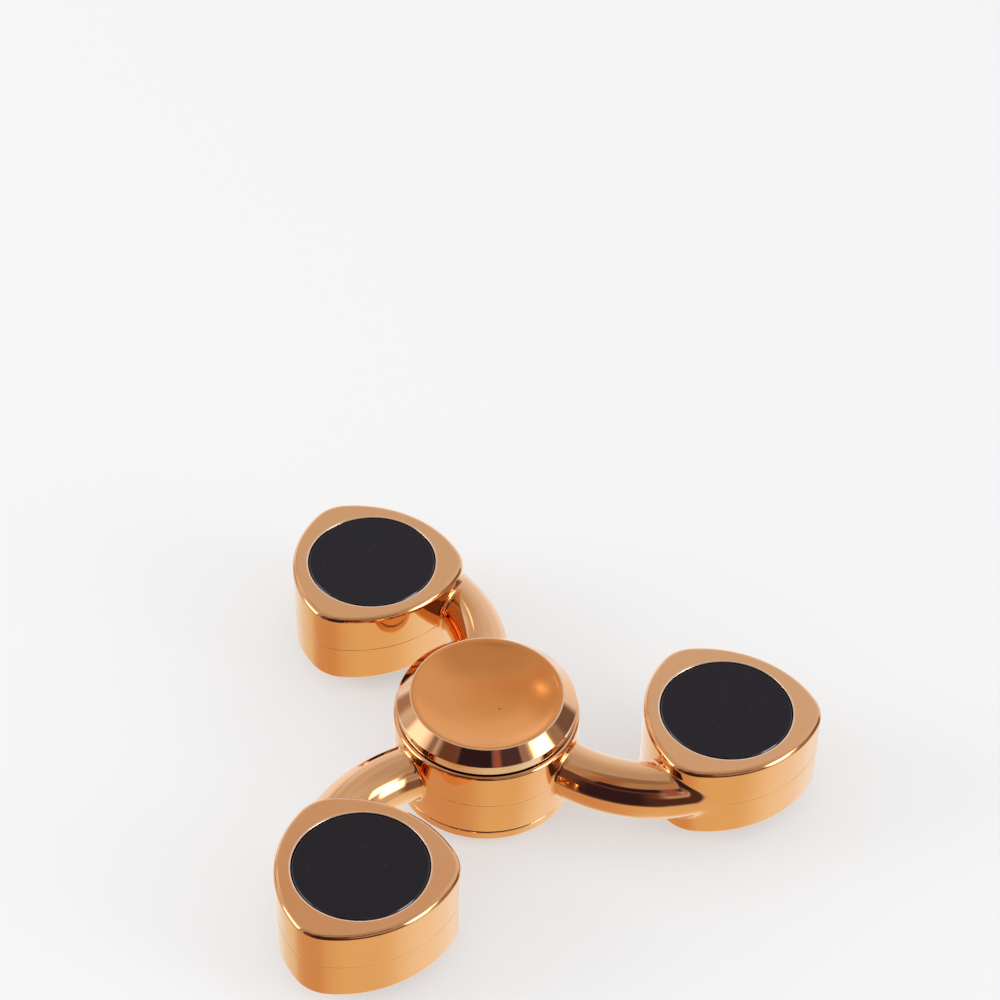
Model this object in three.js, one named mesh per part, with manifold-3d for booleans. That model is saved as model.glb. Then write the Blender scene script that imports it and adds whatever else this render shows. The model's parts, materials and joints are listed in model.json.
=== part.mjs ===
import * as THREE from 'three';
import { mergeVertices } from 'three/addons/utils/BufferGeometryUtils.js';
import Module from 'manifold-3d';

// Three-armed hand spinner. Millimetres, +Z along the spin axis, origin on that axis at mid-height.
// Pod "a" lies on +X; pods "b" and "c" follow at 120 and 240 degrees.

// ---- driving sizes ----
const ARM_COUNT = 3;
const POD_ORBIT = 24.05;          // spin axis to pod centre
const POD_HALF_HEIGHT = 4.38;
const POD_CORNER_RADIUS = 4.07;   // the three rounded corners of a pod
const POD_CORNER_OFFSET = 5.48;   // pod centre to each corner's arc centre
const POD_SIDE_OFFSET = 4.0;      // pod centre to each bowed side's arc centre, behind the pod
const POD_EDGE = 0.6;             // rounding where a pod's faces meet its side

const ARM_TUBE_RADIUS = 2.85;
const ARM_BEND_RADIUS = 14.51;    // plan radius of the arm's centre line
const ARM_LEAVES_HUB_DEG = -27.5; // where that line crosses the hub's side, clockwise of its pod
const ARM_MEETS_POD = [2.0, -3.61]; // where it ends inside the pod, from the pod's centre
const ARM_SUNK_IN_HUB = 3.9;      // how far the tube runs on inside the hub ring

const HUB_RADIUS = 9.35;
const HUB_HALF_HEIGHT = 4.0;
const HUB_EDGE = 0.35;

const CAP_RADIUS = 9.0;
const CAP_RIM_RADIUS = 7.85;      // outer edge of the flat rim round the finger dish
const CAP_DISH_RADIUS = 7.55;     // inner edge of that rim
const CAP_DISH_DEPTH = 1.25;
const CAP_BAND_HEIGHT = 0.95;     // upright band round the cap
const CAP_RING_RISE = 1.21;       // slanted ring above the band, up to the rim
const CAP_BAND_EDGE = 0.12;

const DISC_RADIUS = 6.65;
const DISC_RECESS = 0.05;         // disc face below the pod face
const DISC_EDGE = 0.3;
const DISC_THICKNESS = 1.93;
const WEIGHT_RADIUS = 5.57;

// miniature ball bearing, 6.35 x 12.7 x 4.762
const BEARING_BORE_RADIUS = 3.175;
const BEARING_RADIUS = 6.35;
const BEARING_HALF_WIDTH = 2.381;
const BALL_RADIUS = 0.794;
const BALL_COUNT = 10;
const RACE_LAND_TO_ORBIT = 0.55;  // the races' shoulders lie this far in and out of the balls' orbit
const OUTER_RACE_RIM = 0.6;       // wall left outside the shield's seat
const SHIELD_SEAT_DEPTH = 0.53;
const SHIELD_THICKNESS = 0.18;
const CLIP_WIRE_RADIUS = 0.12;
const CAGE_HALF_THICKNESS = 0.34;
const CAGE_FLOOR = 0.65;          // solid ring under the ball pockets
const CAGE_TOP_Z = 0.5;

const STUD_RADIUS = 1.95;         // threaded stud that draws the two caps together
const STUD_TIP_GAP = 0.3;
const SHOULDER_WIDTH = 0.65;      // ledge in the hub ring that the bearing rests on

// ---- clearances ----
const SEAT_GAP = 0.012;           // pressed or glued cylinders, kept just off each other
const DISC_GAP = 0.07;            // dark line round each pod disc
const WEIGHT_GAP = 0.03;
const BALL_GAP = 0.05;
const POCKET_GAP = 0.06;
const STUD_GAP = 0.05;
const CAP_TO_HUB_GAP = 0.3;
const SHIELD_TO_RACE_GAP = 0.19;
const NECK_TO_RACE_EDGE = 0.25;
const CLIP_GAP = 0.022;

// ---- facets ----
const ROUND = 48;
const BEARING_ROUND = 36;
const STUD_ROUND = 24;

const POD_LEDGE_Z = POD_HALF_HEIGHT - DISC_RECESS - DISC_THICKNESS;
const CAP_UNDERSIDE_Z = HUB_HALF_HEIGHT + CAP_TO_HUB_GAP;
const CAP_BAND_TOP_Z = CAP_UNDERSIDE_Z + CAP_BAND_HEIGHT;
const CAP_RIM_Z = CAP_BAND_TOP_Z + CAP_RING_RISE;
const STUD_TOP_Z = CAP_UNDERSIDE_Z - STUD_TIP_GAP;
const BALL_ORBIT = (BEARING_BORE_RADIUS + BEARING_RADIUS) / 2;
const INNER_LAND_RADIUS = BALL_ORBIT - RACE_LAND_TO_ORBIT;
const OUTER_LAND_RADIUS = BALL_ORBIT + RACE_LAND_TO_ORBIT;
const RACE_GROOVE_RADIUS = BALL_RADIUS + BALL_GAP;
const SHIELD_SEAT_RADIUS = BEARING_RADIUS - OUTER_RACE_RIM;
const SHIELD_SEAT_Z = BEARING_HALF_WIDTH - SHIELD_SEAT_DEPTH;
const CAGE_BOTTOM_Z = -(BALL_RADIUS + POCKET_GAP + CAGE_FLOOR);

const wasm = await Module();
wasm.setup();

const rad = (deg) => (deg * Math.PI) / 180;

function toSolid(geometry) {
  const bare = new THREE.BufferGeometry();
  bare.setAttribute('position', geometry.getAttribute('position').clone());
  if (geometry.index) bare.setIndex(geometry.index.clone());
  const merged = mergeVertices(bare, 1e-5);
  const mesh = new wasm.Mesh({
    numProp: 3,
    vertProperties: new Float32Array(merged.getAttribute('position').array),
    triVerts: new Uint32Array(merged.index.array),
  });
  mesh.merge();
  return new wasm.Manifold(mesh);
}

function toGeometry(solid) {
  const mesh = solid.getMesh();
  const geometry = new THREE.BufferGeometry();
  geometry.setAttribute('position', new THREE.BufferAttribute(mesh.vertProperties, 3));
  geometry.setIndex(new THREE.BufferAttribute(mesh.triVerts, 1));
  const loose = geometry.toNonIndexed();
  loose.computeVertexNormals();
  return loose;
}

// A solid of revolution about +Z from (radius, z) points, listed so that the material lies on the left.
function turned(profile, segments) {
  const points = profile.map(([r, z]) => new THREE.Vector2(r, z));
  const geometry = new THREE.LatheGeometry(points, segments);
  geometry.rotateX(Math.PI / 2);
  return toSolid(geometry);
}

// A plain ring, closed on itself, from inner to outer radius.
function ring(inner, outer, low, high, segments) {
  const loop = [[inner, low], [outer, low], [outer, high], [inner, high], [inner, low]];
  return turned(loop, segments);
}

function rod(radius, low, high, segments) {
  return turned([[0, low], [radius, low], [radius, high], [0, high]], segments);
}

// Points on an arc in the (radius, z) plane.
function arcPoints(centre, radius, startDeg, endDeg, steps) {
  const points = [];
  for (let i = 0; i <= steps; i += 1) {
    const a = rad(startDeg + ((endDeg - startDeg) * i) / steps);
    points.push([centre[0] + radius * Math.cos(a), centre[1] + radius * Math.sin(a)]);
  }
  return points;
}

function mirroredInZ(solid) {
  return solid.mirror([0, 0, 1]);
}

// ---- tri-arm frame: one casting of hub ring, three bent round arms and three pods ----
function podOutline() {
  const shape = new THREE.Shape();
  for (let k = 0; k < 3; k += 1) {
    const at = rad(120 * k);
    const corner = [POD_CORNER_OFFSET * Math.cos(at), POD_CORNER_OFFSET * Math.sin(at)];
    const side = (angle) => [-POD_SIDE_OFFSET * Math.cos(angle), -POD_SIDE_OFFSET * Math.sin(angle)];
    const before = side(at - Math.PI / 3);
    const after = side(at + Math.PI / 3);
    const from = Math.atan2(corner[1] - before[1], corner[0] - before[0]);
    const to = Math.atan2(corner[1] - after[1], corner[0] - after[0]);
    shape.absarc(corner[0], corner[1], POD_CORNER_RADIUS, from, to, false);
    const reach = Math.hypot(corner[0] - after[0], corner[1] - after[1]) + POD_CORNER_RADIUS;
    const next = at + (2 * Math.PI) / 3;
    const nextCorner = [POD_CORNER_OFFSET * Math.cos(next), POD_CORNER_OFFSET * Math.sin(next)];
    const end = Math.atan2(nextCorner[1] - after[1], nextCorner[0] - after[0]);
    shape.absarc(after[0], after[1], reach, to, end, false);
  }
  return shape;
}

function podBlock() {
  const geometry = new THREE.ExtrudeGeometry(podOutline(), {
    depth: 2 * (POD_HALF_HEIGHT - POD_EDGE),
    curveSegments: 7,
    bevelEnabled: true,
    bevelThickness: POD_EDGE,
    bevelSize: POD_EDGE,
    bevelOffset: -POD_EDGE,
    bevelSegments: 2,
  });
  geometry.translate(POD_ORBIT, 0, -(POD_HALF_HEIGHT - POD_EDGE));
  return toSolid(geometry);
}

// The arm's centre line: a plan arc of the bend radius through the two points it must reach.
class ArmPath extends THREE.Curve {
  constructor() {
    super();
    const leave = new THREE.Vector2(HUB_RADIUS, 0).rotateAround(new THREE.Vector2(), rad(ARM_LEAVES_HUB_DEG));
    const meet = new THREE.Vector2(POD_ORBIT + ARM_MEETS_POD[0], ARM_MEETS_POD[1]);
    const chord = meet.clone().sub(leave);
    const rise = Math.sqrt(ARM_BEND_RADIUS ** 2 - chord.lengthSq() / 4);
    const across = new THREE.Vector2(-chord.y, chord.x).normalize();
    this.centre = leave.clone().add(meet).multiplyScalar(0.5).addScaledVector(across, rise);
    this.from = leave.sub(this.centre).angle() - ARM_SUNK_IN_HUB / ARM_BEND_RADIUS;
    this.to = meet.sub(this.centre).angle();
  }

  getPoint(t) {
    const a = this.from + (this.to - this.from) * t;
    const x = this.centre.x + ARM_BEND_RADIUS * Math.cos(a);
    const y = this.centre.y + ARM_BEND_RADIUS * Math.sin(a);
    return new THREE.Vector3(x, y, 0);
  }
}

function armTube() {
  const section = new THREE.Shape();
  section.absarc(0, 0, ARM_TUBE_RADIUS, 0, 2 * Math.PI, false);
  const geometry = new THREE.ExtrudeGeometry(section, {
    steps: 12,
    curveSegments: 9,
    bevelEnabled: false,
    extrudePath: new ArmPath(),
  });
  return toSolid(geometry);
}

function hubBlank() {
  const straight = HUB_HALF_HEIGHT - HUB_EDGE;
  const inset = HUB_RADIUS - HUB_EDGE;
  return turned([
    [0, -HUB_HALF_HEIGHT],
    ...arcPoints([inset, -straight], HUB_EDGE, -90, 0, 2),
    ...arcPoints([inset, straight], HUB_EDGE, 0, 90, 2),
    [0, HUB_HALF_HEIGHT],
  ], ROUND);
}

// The bearing drops in from above onto a shoulder level with its lower face.
function bearingSeat() {
  const seat = BEARING_RADIUS + SEAT_GAP;
  const shoulder = BEARING_RADIUS - SHOULDER_WIDTH;
  return turned([
    [0, -HUB_HALF_HEIGHT - 1],
    [shoulder, -HUB_HALF_HEIGHT - 1],
    [shoulder, -BEARING_HALF_WIDTH],
    [seat, -BEARING_HALF_WIDTH],
    [seat, HUB_HALF_HEIGHT + 1],
    [0, HUB_HALF_HEIGHT + 1],
  ], BEARING_ROUND);
}

// A stepped hole: a wide recess for the disc at each face and a narrower bore for the weight.
function podHole() {
  const wide = DISC_RADIUS + DISC_GAP;
  const narrow = WEIGHT_RADIUS + WEIGHT_GAP;
  const past = POD_HALF_HEIGHT + 1;
  return turned([
    [0, -past],
    [wide, -past],
    [wide, -POD_LEDGE_Z],
    [narrow, -POD_LEDGE_Z],
    [narrow, POD_LEDGE_Z],
    [wide, POD_LEDGE_Z],
    [wide, past],
    [0, past],
  ], BEARING_ROUND).translate([POD_ORBIT, 0, 0]);
}

function triArmFrame() {
  let frame = hubBlank();
  const pod = podBlock();
  const arm = armTube();
  for (let k = 0; k < ARM_COUNT; k += 1) {
    const turn = [0, 0, (360 / ARM_COUNT) * k];
    frame = frame.add(pod.rotate(turn)).add(arm.rotate(turn));
  }
  frame = frame.subtract(bearingSeat());
  const hole = podHole();
  for (let k = 0; k < ARM_COUNT; k += 1) {
    frame = frame.subtract(hole.rotate([0, 0, (360 / ARM_COUNT) * k]));
  }
  return frame;
}

// ---- finger caps: dished pads whose necks clamp the bearing's inner race ----
function capBody() {
  const dishSphere = (CAP_DISH_RADIUS ** 2 + CAP_DISH_DEPTH ** 2) / (2 * CAP_DISH_DEPTH);
  const dishCentre = [0, CAP_RIM_Z - CAP_DISH_DEPTH + dishSphere];
  const dishHalfDeg = (Math.asin(CAP_DISH_RADIUS / dishSphere) * 180) / Math.PI;
  const dish = arcPoints(dishCentre, dishSphere, -90 + dishHalfDeg, -90, 5);
  dish[0] = [CAP_DISH_RADIUS, CAP_RIM_Z];
  dish[dish.length - 1][0] = 0;
  const neck = INNER_LAND_RADIUS - NECK_TO_RACE_EDGE;
  const spigot = BEARING_BORE_RADIUS - SEAT_GAP;
  return turned([
    [0, SEAT_GAP],
    [spigot, SEAT_GAP],
    [spigot, BEARING_HALF_WIDTH],
    [neck, BEARING_HALF_WIDTH],
    [neck, CAP_UNDERSIDE_Z],
    [CAP_RADIUS - CAP_BAND_EDGE, CAP_UNDERSIDE_Z],
    [CAP_RADIUS, CAP_UNDERSIDE_Z + CAP_BAND_EDGE],
    [CAP_RADIUS, CAP_BAND_TOP_Z],
    [CAP_RIM_RADIUS, CAP_RIM_Z],
    ...dish,
  ], ROUND);
}

function upperCap() {
  const socket = rod(STUD_RADIUS + STUD_GAP, -1, CAP_UNDERSIDE_Z, STUD_ROUND);
  return capBody().subtract(socket);
}

function lowerCap() {
  const stud = rod(STUD_RADIUS, -1, STUD_TOP_Z, STUD_ROUND);
  return mirroredInZ(capBody()).add(stud);
}

// ---- ball bearing ----
function raceGroove(startDeg, endDeg) {
  return arcPoints([BALL_ORBIT, 0], RACE_GROOVE_RADIUS, startDeg, endDeg, 5);
}

function innerRace() {
  const half = (Math.acos((BALL_ORBIT - INNER_LAND_RADIUS) / RACE_GROOVE_RADIUS) * 180) / Math.PI;
  return turned([
    [BEARING_BORE_RADIUS, -BEARING_HALF_WIDTH],
    [INNER_LAND_RADIUS, -BEARING_HALF_WIDTH],
    ...raceGroove(180 + half, 180 - half),
    [INNER_LAND_RADIUS, BEARING_HALF_WIDTH],
    [BEARING_BORE_RADIUS, BEARING_HALF_WIDTH],
    [BEARING_BORE_RADIUS, -BEARING_HALF_WIDTH],
  ], ROUND);
}

function outerRace() {
  const half = (Math.acos((OUTER_LAND_RADIUS - BALL_ORBIT) / RACE_GROOVE_RADIUS) * 180) / Math.PI;
  return turned([
    [BEARING_RADIUS, -BEARING_HALF_WIDTH],
    [BEARING_RADIUS, BEARING_HALF_WIDTH],
    [SHIELD_SEAT_RADIUS, BEARING_HALF_WIDTH],
    [SHIELD_SEAT_RADIUS, SHIELD_SEAT_Z],
    [OUTER_LAND_RADIUS, SHIELD_SEAT_Z],
    ...raceGroove(half, -half),
    [OUTER_LAND_RADIUS, -SHIELD_SEAT_Z],
    [SHIELD_SEAT_RADIUS, -SHIELD_SEAT_Z],
    [SHIELD_SEAT_RADIUS, -BEARING_HALF_WIDTH],
    [BEARING_RADIUS, -BEARING_HALF_WIDTH],
  ], BEARING_ROUND);
}

function ball() {
  const sphere = new THREE.SphereGeometry(BALL_RADIUS, 14, 8);
  return toSolid(sphere).translate([BALL_ORBIT, 0, 0]);
}

// Crown cage: a ring below the balls with fingers that reach up between them.
function crownCage() {
  let cage = ring(
    BALL_ORBIT - CAGE_HALF_THICKNESS,
    BALL_ORBIT + CAGE_HALF_THICKNESS,
    CAGE_BOTTOM_Z,
    CAGE_TOP_Z,
    BALL_COUNT * 4,
  );
  const drill = new THREE.CylinderGeometry(BALL_RADIUS + POCKET_GAP, BALL_RADIUS + POCKET_GAP, 2, 12);
  drill.rotateZ(Math.PI / 2);
  const pocket = toSolid(drill).translate([BALL_ORBIT, 0, 0]);
  for (let k = 0; k < BALL_COUNT; k += 1) {
    cage = cage.subtract(pocket.rotate([0, 0, (360 / BALL_COUNT) * k]));
  }
  return cage;
}

function shield() {
  const inner = INNER_LAND_RADIUS + SHIELD_TO_RACE_GAP;
  const outer = SHIELD_SEAT_RADIUS - SEAT_GAP;
  return ring(inner, outer, SHIELD_SEAT_Z, SHIELD_SEAT_Z + SHIELD_THICKNESS, BEARING_ROUND);
}

class ClipPath extends THREE.Curve {
  getPoint(t) {
    const a = rad(12 + 336 * t);
    const r = SHIELD_SEAT_RADIUS - CLIP_WIRE_RADIUS - CLIP_GAP;
    const z = SHIELD_SEAT_Z + SHIELD_THICKNESS + CLIP_WIRE_RADIUS;
    return new THREE.Vector3(r * Math.cos(a), r * Math.sin(a), z);
  }
}

// Split wire ring that springs into the outer race above a shield.
function shieldClip() {
  const section = new THREE.Shape();
  section.absarc(0, 0, CLIP_WIRE_RADIUS, 0, 2 * Math.PI, false);
  const geometry = new THREE.ExtrudeGeometry(section, {
    steps: 30,
    curveSegments: 3,
    bevelEnabled: false,
    extrudePath: new ClipPath(),
  });
  return toSolid(geometry);
}

// ---- pod fillings: a steel weight between two black discs ----
function podDisc() {
  const top = POD_HALF_HEIGHT - DISC_RECESS;
  return turned([
    [0, POD_LEDGE_Z],
    [DISC_RADIUS, POD_LEDGE_Z],
    [DISC_RADIUS, top - DISC_EDGE],
    [DISC_RADIUS - DISC_EDGE, top],
    [0, top],
  ], BEARING_ROUND).translate([POD_ORBIT, 0, 0]);
}

function podWeight() {
  return rod(WEIGHT_RADIUS, -POD_LEDGE_Z, POD_LEDGE_Z, BEARING_ROUND).translate([POD_ORBIT, 0, 0]);
}

// ---- materials ----
const plating = { color: 0xd99a5b, roughness: 0.08, metalness: 1 };
const satinGold = { color: 0xcf9158, roughness: 0.38, metalness: 1 };
const blackDisc = { color: 0x1c1b1d, roughness: 0.45, metalness: 0 };
const steel = { color: 0xb9bcc0, roughness: 0.22, metalness: 1 };
const darkSteel = { color: 0x7d8085, roughness: 0.4, metalness: 1 };
const nylon = { color: 0xe4ddc8, roughness: 0.6, metalness: 0 };

const spinner = new THREE.Group();
spinner.name = 'fidget_spinner';

function addPart(name, solid, look) {
  const mesh = new THREE.Mesh(toGeometry(solid), new THREE.MeshStandardMaterial(look));
  mesh.name = name;
  spinner.add(mesh);
}

addPart('tri_arm_frame', triArmFrame(), plating);
addPart('upper_finger_cap', upperCap(), satinGold);
addPart('lower_finger_cap', lowerCap(), satinGold);
addPart('bearing_inner_race', innerRace(), steel);
addPart('bearing_outer_race', outerRace(), steel);
addPart('bearing_cage', crownCage(), nylon);
for (let k = 0; k < BALL_COUNT; k += 1) {
  const label = String(k + 1).padStart(2, '0');
  addPart(`bearing_ball_${label}`, ball().rotate([0, 0, (360 / BALL_COUNT) * k]), steel);
}
addPart('upper_bearing_shield', shield(), darkSteel);
addPart('lower_bearing_shield', mirroredInZ(shield()), darkSteel);
addPart('upper_shield_clip', shieldClip(), steel);
addPart('lower_shield_clip', mirroredInZ(shieldClip()), steel);
for (let k = 0; k < ARM_COUNT; k += 1) {
  const letter = 'abc'[k];
  const turn = [0, 0, (360 / ARM_COUNT) * k];
  addPart(`pod_${letter}_upper_disc`, podDisc().rotate(turn), blackDisc);
  addPart(`pod_${letter}_lower_disc`, mirroredInZ(podDisc()).rotate(turn), blackDisc);
  addPart(`pod_${letter}_weight`, podWeight().rotate(turn), darkSteel);
}

export default spinner;
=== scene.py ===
import json
import math

import bpy
import numpy as np
from mathutils import Matrix, Vector


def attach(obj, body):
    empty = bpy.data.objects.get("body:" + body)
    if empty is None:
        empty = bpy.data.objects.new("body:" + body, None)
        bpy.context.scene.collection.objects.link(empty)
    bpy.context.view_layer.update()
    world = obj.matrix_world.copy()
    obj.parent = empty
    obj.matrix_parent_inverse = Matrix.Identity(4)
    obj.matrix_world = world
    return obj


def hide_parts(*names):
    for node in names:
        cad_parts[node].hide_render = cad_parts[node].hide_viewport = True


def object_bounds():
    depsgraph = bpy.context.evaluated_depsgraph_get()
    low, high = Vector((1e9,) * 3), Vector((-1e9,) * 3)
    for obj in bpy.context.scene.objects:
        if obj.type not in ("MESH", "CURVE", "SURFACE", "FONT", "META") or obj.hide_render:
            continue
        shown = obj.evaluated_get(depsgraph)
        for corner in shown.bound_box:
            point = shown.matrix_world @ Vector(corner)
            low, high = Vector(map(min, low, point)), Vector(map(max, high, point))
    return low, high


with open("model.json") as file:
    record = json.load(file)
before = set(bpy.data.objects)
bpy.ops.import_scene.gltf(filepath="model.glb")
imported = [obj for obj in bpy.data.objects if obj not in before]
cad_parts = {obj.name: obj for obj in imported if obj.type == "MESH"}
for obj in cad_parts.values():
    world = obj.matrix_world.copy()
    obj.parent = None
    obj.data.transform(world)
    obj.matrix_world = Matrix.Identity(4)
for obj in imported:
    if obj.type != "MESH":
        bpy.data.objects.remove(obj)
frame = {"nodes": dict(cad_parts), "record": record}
cad_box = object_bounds()


# ---------------------------------------------------------------------------------------------
# The tri-arm frame: one zinc casting of three pods, a hub ring and three bent round arms, polished,
# plated in rose gold and lacquered. The fine parting line of its mould runs round at mid-height,
# and the edge of each pod's bore is a paler gold, a painted highlight. Sizes are in millimetres.
# ---------------------------------------------------------------------------------------------
MM = 0.001
ARMS = 3
POD_ORBIT = 24.05
POD_HALF_HEIGHT = 4.38
POD_CORNER_RADIUS = 4.07
POD_CORNER_OFFSET = 5.48
POD_SIDE_OFFSET = 4.0
POD_EDGE = 0.52
BORE_RADIUS = 6.70
BORE_LIP_WIDTH = 0.18
BORE_LIP_DROP = 0.10
LEDGE_Z = 2.40
LEDGE_BORE = 5.60
PARTING_WIDTH = 0.13
PARTING_DEPTH = 0.020
POD_STEPS = 252
# A ring this close to a rounded edge keeps the flat beside it flat.
LIP_GUARD = 0.02
EDGE_GUARD = 0.03
WIDE_GUARD = 0.05


def skin(name, points, faces, normals=None):
    """A smooth-shaded mesh object from points in millimetres."""
    mesh = bpy.data.meshes.new(name)
    mesh.from_pydata((np.asarray(points) * MM).tolist(), [], np.asarray(faces).tolist())
    mesh.update()
    mesh.shade_smooth()
    if normals is not None:
        mesh.normals_split_custom_set_from_vertices(np.asarray(normals).tolist())
    piece = bpy.data.objects.new(name, mesh)
    bpy.context.scene.collection.objects.link(piece)
    return piece


def joined_rings(rings, closed_loop=True):
    """Points and quads of equal rings joined in order, and last to first when closed_loop is set."""
    steps = len(rings[0])
    faces = []
    for r in range(len(rings) if closed_loop else len(rings) - 1):
        near = r * steps
        far = (r + 1) % len(rings) * steps
        for s in range(steps):
            t = (s + 1) % steps
            faces.append((near + s, near + t, far + t, far + s))
    return np.concatenate(rings), np.array(faces)


def pod_outline(inset):
    """The pod's rounded three-cornered outline about its own centre, moved in by inset."""
    corner_radius = POD_CORNER_RADIUS - inset
    points = []
    for step in range(POD_STEPS):
        angle = 2 * math.pi * step / POD_STEPS
        corner_angle = round(angle / (2 * math.pi / 3)) * 2 * math.pi / 3
        lean = angle - corner_angle
        side_angle = corner_angle + math.copysign(math.pi / 3, lean)
        corner = POD_CORNER_OFFSET * np.array([math.cos(corner_angle), math.sin(corner_angle)])
        centre = -POD_SIDE_OFFSET * np.array([math.cos(side_angle), math.sin(side_angle)])
        reach = np.linalg.norm(corner - centre)
        tangent = corner + corner_radius * (corner - centre) / reach
        bend = abs(math.atan2(tangent[1], tangent[0]) - corner_angle)
        bend = min(bend % (2 * math.pi), -bend % (2 * math.pi))
        at_corner = abs(lean) < bend
        middle, radius = (corner, corner_radius) if at_corner else (centre, reach + corner_radius)
        ray = np.array([math.cos(angle), math.sin(angle)])
        along = ray @ middle
        points.append(ray * (along + math.sqrt(radius**2 - middle @ middle + along**2)))
    return np.array(points)


def at_height(outline, z):
    return np.column_stack([outline, np.full(len(outline), z)])


def circle(radius, z, steps=POD_STEPS):
    turn = 2 * np.pi * np.arange(steps) / steps
    return np.column_stack([radius * np.cos(turn), radius * np.sin(turn), np.full(steps, z)])


def quarter(radius, start_deg, end_deg, steps):
    """Offsets along a rounded edge, as (out, up) pairs."""
    turns = np.radians(np.linspace(start_deg, end_deg, steps))
    return [(radius * math.cos(t), radius * math.sin(t)) for t in turns]


def parting_groove():
    """(inset, z) down a wall across the fine parting line."""
    half = PARTING_WIDTH / 2
    above = [(0, 2.4 * half), (0, half), (PARTING_DEPTH * 0.6, half * 0.5)]
    below = [(inset, -z) for inset, z in reversed(above)]
    return [*above, (PARTING_DEPTH, 0), *below]


def pod_rings():
    """The pod's section as rings: up the bore, over its lip, the face and the edge, and down the side."""
    top = POD_HALF_HEIGHT
    upper = [circle(LEDGE_BORE, 0), circle(LEDGE_BORE, LEDGE_Z), circle(BORE_RADIUS, LEDGE_Z)]
    upper.append(circle(BORE_RADIUS, top - BORE_LIP_DROP - LIP_GUARD))
    for out, up in quarter(1, 180, 90, 10):
        upper.append(circle(BORE_RADIUS + BORE_LIP_WIDTH * (1 + out), top - BORE_LIP_DROP * (1 - up)))
    upper.append(circle(BORE_RADIUS + BORE_LIP_WIDTH + LIP_GUARD, top))
    upper.append(at_height(pod_outline(POD_EDGE + EDGE_GUARD), top))
    for out, up in quarter(POD_EDGE, 90, 0, 12):
        upper.append(at_height(pod_outline(POD_EDGE - out), top - POD_EDGE + up))
    upper.append(at_height(pod_outline(0), top - POD_EDGE - WIDE_GUARD))
    groove = [at_height(pod_outline(inset), z) for inset, z in parting_groove()]
    lower = [ring * [1, 1, -1] for ring in reversed(upper[1:])]
    return upper + groove + lower


HUB_RADIUS = 9.35
HUB_HALF_HEIGHT = 4.0
HUB_EDGE = 0.35
BEARING_SEAT = 6.362
SEAT_CHAMFER = 0.1
SHOULDER_RADIUS = 5.70
BEARING_HALF_WIDTH = 2.381
HUB_STEPS = 256


def hub_rings():
    """The hub's section as rings, from the bearing's shoulder up its seat, over and down the outside."""
    rim, top = HUB_RADIUS - HUB_EDGE, HUB_HALF_HEIGHT
    section = [
        (BEARING_SEAT, -BEARING_HALF_WIDTH), (BEARING_SEAT, top - SEAT_CHAMFER),
        (BEARING_SEAT + SEAT_CHAMFER, top), (rim - EDGE_GUARD, top),
        *[(rim + out, top - HUB_EDGE + up) for out, up in quarter(HUB_EDGE, 90, 0, 9)],
        *[(HUB_RADIUS - inset, z) for inset, z in parting_groove()],
        *[(rim + out, -top + HUB_EDGE + up) for out, up in quarter(HUB_EDGE, 0, -90, 9)],
        (rim - EDGE_GUARD, -top),
        (SHOULDER_RADIUS + SEAT_CHAMFER, -top), (SHOULDER_RADIUS, -top + SEAT_CHAMFER),
        (SHOULDER_RADIUS, -BEARING_HALF_WIDTH),
    ]
    return [circle(radius, z, HUB_STEPS) for radius, z in section]


ARM_TUBE_RADIUS = 2.85
ARM_BEND_RADIUS = 14.51
ARM_LEAVES_HUB = math.radians(-27.5)
ARM_MEETS_POD = (2.0, -3.61)
ARM_BLEND = 0.45
ARM_GRID = 0.2
ARM_GRID_LOW = (4.7, -10.4, -3.9)
ARM_GRID_HIGH = (30.5, 3.0, 3.9)
ARM_PULLS = 6
ARM_BURIED = 0.003

arm_leave = HUB_RADIUS * np.array([math.cos(ARM_LEAVES_HUB), math.sin(ARM_LEAVES_HUB)])
arm_meet = np.array([POD_ORBIT + ARM_MEETS_POD[0], ARM_MEETS_POD[1]])
arm_chord = arm_meet - arm_leave
arm_rise = math.sqrt(ARM_BEND_RADIUS**2 - arm_chord @ arm_chord / 4)
arm_across = np.array([-arm_chord[1], arm_chord[0]]) / np.linalg.norm(arm_chord)
arm_centre = (arm_leave + arm_meet) / 2 + arm_across * arm_rise


def off_hub(p):
    return np.hypot(p[:, 0], p[:, 1]) - HUB_RADIUS


def off_arm(p):
    in_plan = np.hypot(p[:, 0] - arm_centre[0], p[:, 1] - arm_centre[1]) - ARM_BEND_RADIUS
    return np.hypot(in_plan, p[:, 2]) - ARM_TUBE_RADIUS


def off_pod(p):
    x, y = p[:, 0] - POD_ORBIT, p[:, 1]
    along = POD_CORNER_OFFSET + POD_SIDE_OFFSET * math.cos(math.pi / 3)
    across = POD_SIDE_OFFSET * math.sin(math.pi / 3)
    side_radius = math.hypot(along, across) + POD_CORNER_RADIUS
    spread = math.atan2(across, along)
    corners = [k * 2 * math.pi / 3 for k in range(3)]
    distance = np.full(len(p), -np.inf)
    for at in corners:
        side = at + math.pi / 3
        cx, cy = -POD_SIDE_OFFSET * math.cos(side), -POD_SIDE_OFFSET * math.sin(side)
        distance = np.maximum(distance, np.hypot(x - cx, y - cy) - side_radius)
    for at in corners:
        dx, dy = x - POD_CORNER_OFFSET * math.cos(at), y - POD_CORNER_OFFSET * math.sin(at)
        lean = np.arctan2(dy * math.cos(at) - dx * math.sin(at), dx * math.cos(at) + dy * math.sin(at))
        distance = np.where(np.abs(lean) < spread, np.hypot(dx, dy) - POD_CORNER_RADIUS, distance)
    return distance


def melt(a, b, reach):
    """The smaller of two distances, rounded where they are close, as cast metal fills a corner."""
    share = np.maximum(reach - np.abs(a - b), 0) / reach
    return np.minimum(a, b) - share * share * reach / 4


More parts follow.
